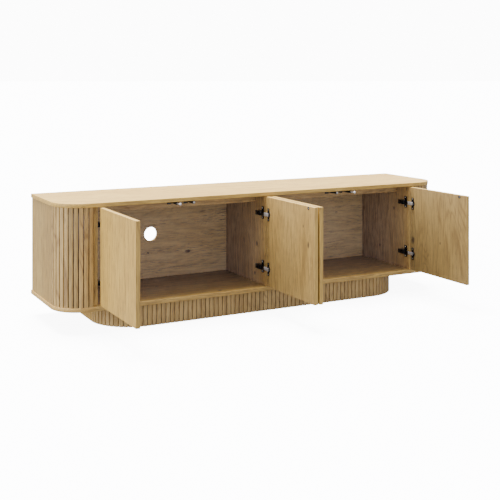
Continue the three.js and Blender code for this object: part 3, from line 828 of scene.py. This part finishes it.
def made_by_tree(name, points, edges, tree, values):
    """The plain mesh that a Geometry Nodes tree makes from points and edges."""
    mesh = bpy.data.meshes.new(name + "_guide")
    mesh.from_pydata(points, edges, [])
    carrier = bpy.data.objects.new(name + "_guide", mesh)
    bpy.context.scene.collection.objects.link(carrier)
    modifier = carrier.modifiers.new("tree", "NODES")
    modifier.node_group = tree
    for item in tree.interface.items_tree:
        if item.in_out == "INPUT" and item.name in values:
            modifier[item.identifier] = values[item.name]
    bpy.context.view_layer.update()
    evaluated = carrier.evaluated_get(bpy.context.evaluated_depsgraph_get())
    made = bpy.data.meshes.new_from_object(evaluated)
    carrier.modifiers.clear()
    bpy.data.objects.remove(carrier)
    made.name = name
    return made


def add_screws(name, points, facing, radius, rise, seed, body, slot, material):
    made = made_by_tree(name, points, [], SCREWS, {
        "Radius": radius, "Rise": rise, "Facing": facing, "Seed": seed, "Material": material,
    })
    for face in made.polygons:
        face.use_smooth = True
    made.set_sharp_from_angle(angle=SHARP_SCREW)
    piece = bpy.data.objects.new(name, made)
    bpy.context.scene.collection.objects.link(piece)
    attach(piece, body)
    return piece


def eased_node(node, name, material, body, width):
    """A CAD node's own shape with its faces merged and its edges rounded over."""
    bm = tidy_copy(node)
    ease_edges(bm, width, segments=2, sharper_than=REAL_CORNER)
    piece = finish_mesh(bm, name, material, body, smooth_all=True)
    piece.data.set_sharp_from_angle(angle=SHARP_NODE)
    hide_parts(node)
    return piece


def lathe(name, profile, steps, centre, axis, material, body):
    """A closed profile of (along, radius) points turned about an axis through centre."""
    bm = bmesh.new()
    axis = Vector(axis)
    turn = Vector((0, 0, 1)).rotation_difference(axis).to_matrix()
    rings = []
    for along, radius in profile:
        ring = []
        for i in range(steps):
            angle = 2 * math.pi * i / steps
            point = Vector((radius * math.cos(angle), radius * math.sin(angle), along))
            ring.append(bm.verts.new(Vector(centre) + turn @ point))
        rings.append(ring)
    for near, far in zip(rings, rings[1:]):
        for i in range(steps):
            k = (i + 1) % steps
            bm.faces.new((near[i], near[k], far[k], far[i]))
    bm.faces.new(reversed(rings[0]))
    bm.faces.new(rings[-1])
    bmesh.ops.recalc_face_normals(bm, faces=bm.faces)
    piece = finish_mesh(bm, name, material, body, smooth_all=True)
    piece.data.set_sharp_from_angle(angle=SHARP_TURNED)
    return piece


SCREW_SPACING = {"cup": 42 * MM, "plate": 40 * MM}
CUP_SCREW = (3.0 * MM, 0.6 * MM)  # radius and rise of the head
PLATE_SCREW = (3.4 * MM, 1.3 * MM)
CUP_SCREW_SINK = 0.3 * MM  # how far the cup's screws sit below the flange's face
PLATE_SCREW_LIFT = 0.9 * MM  # how far the plate's screws stand off the plate's face
PLATE_MIDDLE = 41.5 * MM  # the plate's centre line, behind the cabinet's front edge
PLATE_FACE = 2.3 * MM  # the plate's face, off the partition
CUP_EASING, PLATE_EASING, BAR_EASING = 0.25 * MM, 0.3 * MM, 0.6 * MM
SLEEVE_SHARE = 0.5  # the share of a hinge bar, from its rear end, that is black


def blacken_rear(bar, share):
    """Cuts a bar's surface across and gives the part that is nearer the arm black steel."""
    depths = [vertex.co.y for vertex in bar.data.vertices]
    cut = max(depths) - share * (max(depths) - min(depths))
    bm = bmesh.new()
    bm.from_mesh(bar.data)
    parts = [*bm.verts, *bm.edges, *bm.faces]
    bmesh.ops.bisect_plane(bm, geom=parts, plane_co=(0, cut, 0), plane_no=(0, 1, 0))
    for face in bm.faces:
        if face.calc_center_median().y > cut:
            face.material_index = 1
    bm.to_mesh(bar.data)
    bm.free()
    bar.data.materials.append(BLACK_STEEL)


def add_hinge(number, level, seed):
    """The cup, arm and link keep their drawn shapes with rounded edges, and get real screws."""
    tag = f"{number}_{level}"
    leaf = f"door_leaf_{number}"
    look = LOOKS[number]
    cup, arm, link = (f"hinge_{part}_{tag}" for part in ("cup", "arm", "link"))
    eased_node(cup, f"hinge_flange_{tag}", BLACK_STEEL, leaf, CUP_EASING)
    eased_node(arm, f"hinge_plate_{tag}", BLACK_STEEL, CARCASE, PLATE_EASING)
    bar = eased_node(
        link, f"hinge_bar_{tag}", BRIGHT_STEEL, f"links_{number}", BAR_EASING,
    )
    blacken_rear(bar, SLEEVE_SHARE)
    low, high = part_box(cup)
    middle = (low + high) / 2
    face = (high.x if look > 0 else low.x) - look * CUP_SCREW_SINK
    spread = SCREW_SPACING["cup"] / 2
    add_screws(
        f"cup_screws_{tag}", [(face, middle.y, middle.z + end * spread) for end in (-1, 1)],
        (look, 0, 0), *CUP_SCREW, seed, leaf, "bright_steel", BRIGHT_STEEL,
    )
    low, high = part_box(arm)
    middle = (low + high) / 2
    # The plate lies on the partition's face and its screws stand off it, towards the arm.
    wall = low.x if look > 0 else high.x
    plate_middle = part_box("top_panel")[0].y + PLATE_MIDDLE
    spread = SCREW_SPACING["plate"] / 2
    top = wall + look * (PLATE_FACE + PLATE_SCREW_LIFT)
    add_screws(
        f"plate_screws_{tag}", [(top, plate_middle, middle.z + end * spread) for end in (-1, 1)],
        (look, 0, 0), *PLATE_SCREW, seed + 1, CARCASE, "bright_steel", BRIGHT_STEEL,
    )


STRIKE_SCREW = 0.25  # the screw's radius, as a share of the ring's
STRIKE_FLOOR = 0.25  # the recess's floor, as a share of the ring's rise
RING_STEPS = 40
STRIKE_SEED = 40


def add_strike(number):
    """A black ring round a recessed bright screw."""
    node = f"strike_plate_{number}"
    look = LOOKS[number]
    leaf = f"door_leaf_{number}"
    low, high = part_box(node)
    middle = (low + high) / 2
    back = low.x if look > 0 else high.x
    radius = (high.z - low.z) / 2
    rise = high.x - low.x
    # Shares of the rise and of the radius: out over the rim, and down into the recess.
    profile = [
        (0, 0.30), (0, 0.97), (0.35, 1.0), (0.8, 0.96), (1.0, 0.88), (1.0, 0.46), (0.75, 0.41),
        (0.25, 0.38), (0.25, 0.30),
    ]
    ring = lathe(
        f"strike_ring_{number}", [(a * rise, r * radius) for a, r in profile], RING_STEPS,
        (back, middle.y, middle.z), (look, 0, 0), RING_BLACK, leaf,
    )
    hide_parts(node)
    add_screws(
        f"strike_screw_{number}", [(back + look * STRIKE_FLOOR * rise, middle.y, middle.z)],
        (look, 0, 0), STRIKE_SCREW * radius, 0.5 * rise, STRIKE_SEED + number, leaf,
        "bright_steel", BRIGHT_STEEL,
    )


LATCH_EASING = 0.4 * MM
ROD_STEPS = 36
ROD_WAIST = 0.66  # the rod behind the tip's collar, as a share of the tip's radius
ROD_END = 0.58
ROD_CHAMFER = 0.4 * MM


def add_latch(number):
    """The latch body with rounded edges, and a plunger with a domed tip and a thinner rod."""
    body = f"push_latch_{number}"
    eased_node(body, f"latch_body_{number}", BLACK_PLASTIC, CARCASE, LATCH_EASING)
    node = f"latch_plunger_{number}"
    low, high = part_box(node)
    middle = (low + high) / 2
    radius = (high.z - low.z) / 2
    length = high.y - low.y
    # How far back from the front, and the share of the radius there.
    tip = [(0.0, 0.05), (0.05 * MM, 0.42), (0.3 * MM, 0.72), (0.8 * MM, 0.92), (1.4 * MM, 1.0),
           (2.6 * MM, 1.0), (3.0 * MM, 0.90), (3.2 * MM, ROD_WAIST)]
    profile = [(along, share * radius) for along, share in tip]
    profile += [(length - ROD_CHAMFER, ROD_WAIST * radius), (length, ROD_END * radius)]
    plunger = lathe(
        f"plunger_rod_{number}", profile, ROD_STEPS, (middle.x, low.y, middle.z), (0, 1, 0),
        WHITE_PLASTIC, f"plunger_{number}",
    )
    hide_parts(node)


def add_hardware():
    for number in DOORS:
        for place, level in enumerate(LEVELS):
            seed = 10 * number + 3 * place
            add_hinge(number, level, seed)
        add_strike(number)
        add_latch(number)


# ---- floor and light -----------------------------------------------------------------------

FLOOR_HALF_WIDTH = 600  # metres, so that its far edge is at the horizon
FLOOR_PALE = 0.86  # the floor's colour as the camera sees it
FLOOR_BOUNCE = 0.13  # how much of the light the floor sends back up at the cabinet
FLOOR_GLOW = 9.0  # what lifts the floor to white, for the camera alone


def add_floor():
    bm = bmesh.new()
    bmesh.ops.create_grid(bm, x_segments=1, y_segments=1, size=FLOOR_HALF_WIDTH)
    mesh = bpy.data.meshes.new("floor")
    bm.to_mesh(mesh)
    bm.free()
    floor = bpy.data.objects.new("floor", mesh)
    bpy.context.scene.collection.objects.link(floor)
    material, t, shader = blank_material("floor_paint")
    seen = t.add("ShaderNodeLightPath").outputs["Is Camera Ray"]
    shade = t.span(seen, 0.0, 1.0, FLOOR_BOUNCE, FLOOR_PALE)
    t.join(t.add("ShaderNodeCombineColor", {0: shade, 1: shade, 2: shade}).outputs[0],
           shader.inputs["Base Color"])
    shader.inputs["Roughness"].default_value = 0.9
    shader.inputs["Specular IOR Level"].default_value = 0.1
    shader.inputs["Emission Color"].default_value = (1, 1, 1, 1)
    t.join(t.maths("MULTIPLY", seen, FLOOR_GLOW), shader.inputs["Emission Strength"])
    mesh.materials.append(material)


# The room's strength as the camera sees it, in reflections, and as fill light; it is white to the
# camera and slightly cool as fill.
ROOM_SEEN = 12.0
ROOM_REFLECTED = 0.7
ROOM_FILL = 1.0
ROOM_COLOUR = (0.94, 0.99, 1.30, 1)

# Large soft lights: name -> (strength, softness in degrees, where the light comes from).
SOFT_LIGHTS = {
    "ceiling_softbox": (13.8, 32, (-0.04, 0.16, 0.98)),
    "left_softbox": (3.2, 34, (-1.0, 0.0, 0.16)),
}
LAMP_DISTANCE = 4


def add_room():
    world = bpy.data.worlds.new("studio")
    world.use_nodes = True
    t = Tree(world.node_tree)
    background = world.node_tree.nodes["Background"]
    fill_share = t.maths("SUBTRACT", 1.0, t.add("ShaderNodeLightPath").outputs["Is Camera Ray"])
    t.join(t.blend(fill_share, (1, 1, 1, 1), ROOM_COLOUR), background.inputs["Color"])
    ray = t.add("ShaderNodeLightPath").outputs
    seen = t.maths("MULTIPLY", ray["Is Camera Ray"], ROOM_SEEN)
    reflected = t.maths("MULTIPLY", ray["Is Glossy Ray"], ROOM_REFLECTED)
    strength = t.maths("MAXIMUM", t.maths("MAXIMUM", seen, reflected), ROOM_FILL)
    t.join(strength, background.inputs["Strength"])
    bpy.context.scene.world = world


def add_lights():
    for name, (strength, softness, source) in SOFT_LIGHTS.items():
        data = bpy.data.lights.new(name, "SUN")
        data.energy = strength
        data.angle = math.radians(softness)
        lamp = bpy.data.objects.new(name, data)
        lamp.rotation_euler = Vector(source).to_track_quat("Z", "Y").to_euler()
        lamp.location = Vector(source) * LAMP_DISTANCE
        bpy.context.scene.collection.objects.link(lamp)


add_boards()
add_doors()
add_corner_skins()
add_plinth()
add_hardware()
add_floor()
add_room()
add_lights()
